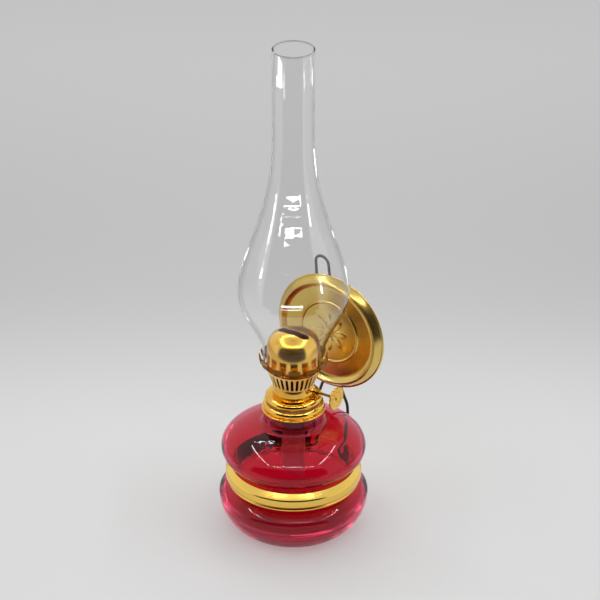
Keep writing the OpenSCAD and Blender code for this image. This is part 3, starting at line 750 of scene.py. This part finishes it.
class LAMP_OT_font(bpy.types.Operator):
    """Dresses the font in ruby glass."""

    bl_idname = "lamp.font"
    bl_label = "Font"

    def execute(self, context):
        looks = context.scene.lamp_finish
        low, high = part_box("font")
        # Thick neck and foot take the deep ruby; at the foot it is also painted shade for the contact
        # shadow under the font
        neck = (high.z - 0.016, high.z - 0.011)
        foot = (low.z + 0.006, low.z - 0.002)
        ruby, t, shader = glass(
            "Ruby glass", looks.ruby, looks.ruby_deep, thick_z=(neck, foot), rim=0.0,
            shade=(0.93, 0.84, 0.855, 1.0), rough=(0.0, 0.02), wave_scale=26.0, wave=0.03)
        shader.inputs["IOR"].default_value = FONT_IOR
        t.put(shader.inputs["Coat Weight"], t.step(inner_faces(t), 0.0, 1.0, 0.6, 0.0))
        shader.inputs["Coat Roughness"].default_value = 0.0
        stand_in(turned("font", "blown_font", 5), "font", "lamp", ruby)
        return {"FINISHED"}


class LAMP_OT_chimney(bpy.types.Operator):
    """Dresses the chimney in clear glass."""

    bl_idname = "lamp.chimney"
    bl_label = "Chimney"

    def execute(self, context):
        looks = context.scene.lamp_finish
        low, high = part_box("chimney")
        mouth = (high.z - 0.0012, high.z - 0.0004)
        clear, t, shader = glass(
            "Clear glass", looks.clear, looks.clear_deep, thick_z=(mouth,), rim=0.9,
            shade=(0.97, 0.97, 0.97, 1.0), rough=(0.0, 0.02), wave_scale=22.0, wave=0.015)
        shader.inputs["IOR"].default_value = CHIMNEY_IOR
        height = t.axes(t.add("ShaderNodeTexCoord").outputs["Object"])["Z"]
        weight = t.step(height, low.z + 0.03, low.z + 0.045, 0.2, 1.0)
        outer = t.math("SUBTRACT", 1.0, inner_faces(t))
        t.put(shader.inputs["Coat Weight"], t.math("MULTIPLY", weight, outer))
        shader.inputs["Coat IOR"].default_value = CHIMNEY_COAT_IOR
        shader.inputs["Coat Roughness"].default_value = 0.0
        stand_in(turned("chimney", "blown_chimney", 4), "chimney", "chimney", clear)
        return {"FINISHED"}


class LAMP_OT_burner(bpy.types.Operator):
    """Dresses burner, collar and knob in polished gilt, and the pieces inside in plain brass."""

    bl_idname = "lamp.burner"
    bl_label = "Burner"

    def execute(self, context):
        looks = context.scene.lamp_finish
        for name, nodes, rough, round_share, lift in GILT_NODES:
            tints = (looks.gilt, looks.gilt_deep)
            # Painted light: the basket's bars take a paler gilt, for the light that they catch
            if name == "Pierced gilt":
                tints = (looks.gilt_painted_light, looks.gilt)
            gilt, t, shader = metal(name, *tints, cloud_scale=55.0, rough=rough, turning=0.6, dent=0.012)
            # Painted shade: the inner faces of the dome and the basket are darkened and dulled
            if name in HOLLOW_GILT:
                paint_inner_shade(t, shader, HOLLOW_PAINTED_SHADE)
            # Painted shade: the crown's upright walls are darkened, standing in for the dark that they
            # mirror
            if name == "Gallery gilt":
                normal = t.add("ShaderNodeNewGeometry").outputs["True Normal"]
                painted_shade_walls = t.step(t.axes(normal)["Z"], 0.1, 0.45, 1.0, 0.0)
                bright = shader.inputs["Base Color"].links[0].from_socket
                t.put(shader.inputs["Base Color"], t.blend(painted_shade_walls, bright, looks.gilt_painted_shade))
            low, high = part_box(nodes[0])
            centre = (0.0, 0.0, high.z - (high.x - low.x) / 2)
            outer = t.math("MULTIPLY", t.math("SUBTRACT", 1.0, inner_faces(t)), round_share)
            wall = t.group(pressed_wall(), centre=centre, round=outer, lift=(0.0, 0.0, lift))
            bump = shader.inputs["Normal"].links[0].from_node
            t.put(bump.inputs["Normal"], wall["Normal"])
            for node in nodes:
                if node == "collar":
                    stand_in(turned(node, "rolled_collar", 5), node, "lamp", gilt)
                else:
                    dress(node, gilt)
        plain, _, _ = metal(
            "Plain brass", *PLAIN_BRASS, cloud_scale=80.0, rough=(0.25, 0.45), turning=0.5, dent=0.2)
        for node in INNER_NODES:
            dress(node, plain)
        return {"FINISHED"}


class LAMP_OT_seal(bpy.types.Operator):
    """Dresses the plaster under the collar and the cork washer on it."""

    bl_idname = "lamp.seal"
    bl_label = "Seal"

    def execute(self, context):
        for node, pale, dark, scale in (
            ("plaster_bed", (0.74, 0.72, 0.66, 1.0), (0.56, 0.53, 0.47, 1.0), 700.0),
            ("cork_washer", (0.52, 0.34, 0.18, 1.0), (0.2, 0.11, 0.05, 1.0), 900.0),
        ):
            material, t, shader, _ = new_material(node.replace("_", " ").capitalize())
            where = t.add("ShaderNodeTexCoord").outputs["Object"]
            grain = t.noise(where, scale, 5.0, 0.7)
            t.put(shader.inputs["Base Color"], t.blend(t.step(grain, 0.42, 0.66), pale, dark))
            shader.inputs["Roughness"].default_value = 0.85
            t.put(shader.inputs["Normal"], t.bump(grain, 0.4, 0.0003))
            dress(node, material)
        return {"FINISHED"}


class LAMP_OT_band(bpy.types.Operator):
    """Dresses the waist band in bright gilt, with painted shade on the side that faces the glass."""

    bl_idname = "lamp.band"
    bl_label = "Band"

    def execute(self, context):
        looks = context.scene.lamp_finish
        band, t, shader = metal(
            "Band gilt", looks.band, looks.gilt, cloud_scale=40.0,
            rough=(0.16, 0.24), turning=0.4, dent=0.03)
        # Painted shade on the band's side that faces the glass
        paint_inner_shade(t, shader, BAND_PAINTED_SHADE)
        dress("waist_band", band)
        return {"FINISHED"}


class LAMP_OT_reflector(bpy.types.Operator):
    """Dresses the reflector in satin brass with turning marks and a rosette pressed in its middle."""

    bl_idname = "lamp.reflector"
    bl_label = "Reflector"

    def execute(self, context):
        looks = context.scene.lamp_finish
        tints = (looks.reflector, looks.reflector_deep)
        satin, t, shader = metal(
            "Satin brass", *tints, cloud_scale=35.0, rough=(0.2, 0.28), turning=0.0, dent=0.02)
        low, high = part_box("reflector")
        middle = (low + high) / 2
        where = t.vector("SUBTRACT", t.add("ShaderNodeTexCoord").outputs["Object"], middle)
        made = t.group(spun_sheet(), vector=where)
        t.put(shader.inputs["Normal"], t.bump(made["Height"], 1.0, 0.0003))
        dress("reflector", satin)
        spots = [vertex.co for vertex in NODES["reflector"].data.vertices]
        plain = [spot.y for spot in spots if math.hypot(spot.x - middle.x, spot.z - middle.z) < FIELD_R]
        face = Vector((middle.x, min(plain), middle.z))
        rosette = pressed_rosette(face, looks.press)
        rosette.data.materials.append(satin)
        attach(rosette, "lamp")
        back, _, _ = metal(
            "Brass back", *tints, cloud_scale=35.0, rough=(0.3, 0.4), turning=0.0, dent=0.03)
        dress("reflector_straps", back)
        return {"FINISHED"}


class LAMP_OT_hanger(bpy.types.Operator):
    """Dresses the hanger's wire in black lacquer."""

    bl_idname = "lamp.hanger"
    bl_label = "Hanger"

    def execute(self, context):
        looks = context.scene.lamp_finish
        material, t, shader, _ = new_material("Black lacquer")
        where = t.add("ShaderNodeTexCoord").outputs["Object"]
        chips = t.step(t.noise(where, 420.0, 4.0, 0.7), 0.62, 0.74)
        t.put(shader.inputs["Base Color"], t.blend(chips, looks.wire, (0.07, 0.066, 0.062, 1.0)))
        t.put(shader.inputs["Roughness"], t.step(chips, 0.0, 1.0, 0.28, 0.5))
        shader.inputs["Metallic"].default_value = 0.0
        t.put(shader.inputs["Normal"], t.bump(t.noise(where, 800.0, 3.0), 0.15, 0.0002))
        dress("hanger_wire", material)
        return {"FINISHED"}


class LAMP_OT_wick(bpy.types.Operator):
    """Weaves the flat cotton wick."""

    bl_idname = "lamp.wick"
    bl_label = "Wick"

    def execute(self, context):
        looks = context.scene.lamp_finish
        low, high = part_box("wick")
        half, end = (high.x - low.x) / 2, (high.y - low.y) / 2
        outline = []
        for side in (1.0, -1.0):
            for i in range(WICK_EDGE + 1):
                a = math.radians(-90.0 + 180.0 * i / WICK_EDGE)
                outline.append((side * (half - end) + side * end * math.cos(a), side * end * math.sin(a)))
            for i in range(1, WICK_FLAT):
                x = side * (half - end) * (1.0 - 2.0 * i / WICK_FLAT)
                outline.append((x, side * end))
        bm = bmesh.new()
        rows = int((high.z - low.z) / (looks.weave / 2.0))
        rings = []
        for row in range(rows + 1):
            z = low.z + (high.z - low.z) * row / rows
            ring = []
            for i, (x, y) in enumerate(outline):
                sunk = WEAVE_DEPTH if (row // 2 + i // 2) % 2 else 0.0
                share = 1.0 - sunk / end
                ring.append(bm.verts.new((x * (1.0 - sunk / half), y * share, z)))
            rings.append(ring)
        count = len(outline)
        for a, b in zip(rings, rings[1:]):
            for i in range(count):
                n = (i + 1) % count
                bm.faces.new((a[i], a[n], b[n], b[i]))
        bm.faces.new(list(reversed(rings[0])))
        bm.faces.new(rings[-1])
        wick = object_from(bm, "woven_wick")
        wick.data.shade_smooth()
        material, t, shader, _ = new_material("Cotton")
        where = t.add("ShaderNodeTexCoord").outputs["Object"]
        lint = t.noise(where, 2500.0, 4.0, 0.7)
        dry = t.blend(t.step(lint, 0.35, 0.7), looks.cotton, (0.72, 0.67, 0.58, 1.0))
        # Painted light: the tail below this height turns red, for the red light inside the ruby font
        painted_red_light = t.step(t.axes(where)["Z"], low.z + 0.06, low.z + 0.05)
        t.put(shader.inputs["Base Color"], t.blend(painted_red_light, dry, looks.painted_red_light))
        shader.inputs["Roughness"].default_value = 0.95
        t.put(shader.inputs["Normal"], t.bump(lint, 0.6, 0.0002))
        stand_in(wick, "wick", "wick", material)
        return {"FINISHED"}


PIECES = (
    LAMP_OT_stage, LAMP_OT_font, LAMP_OT_chimney, LAMP_OT_burner, LAMP_OT_seal, LAMP_OT_band,
    LAMP_OT_reflector, LAMP_OT_hanger, LAMP_OT_wick,
)


class LAMP_PT_panel(bpy.types.Panel):
    """Lists the lamp's pieces."""

    bl_idname = "LAMP_PT_panel"
    bl_label = "Oil lamp"
    bl_space_type = "VIEW_3D"
    bl_region_type = "UI"
    bl_category = "Oil lamp"

    def draw(self, context):
        for piece in PIECES:
            self.layout.operator(piece.bl_idname)
        for group, kind in ((context.scene.lamp_finish, LampFinish), (context.scene.lamp_stage, LampStage)):
            for name in kind.__annotations__:
                self.layout.prop(group, name)


CLASSES = (LampFinish, LampStage, *PIECES, LAMP_PT_panel)


def register():
    for cls in CLASSES:
        bpy.utils.register_class(cls)
    bpy.types.Scene.lamp_finish = bpy.props.PointerProperty(type=LampFinish)
    bpy.types.Scene.lamp_stage = bpy.props.PointerProperty(type=LampStage)


def unregister():
    del bpy.types.Scene.lamp_stage
    del bpy.types.Scene.lamp_finish
    for cls in reversed(CLASSES):
        bpy.utils.unregister_class(cls)


def main():
    register()
    for piece in PIECES:
        space, name = piece.bl_idname.split(".")
        getattr(getattr(bpy.ops, space), name)()


if __name__ == "__main__":
    main()
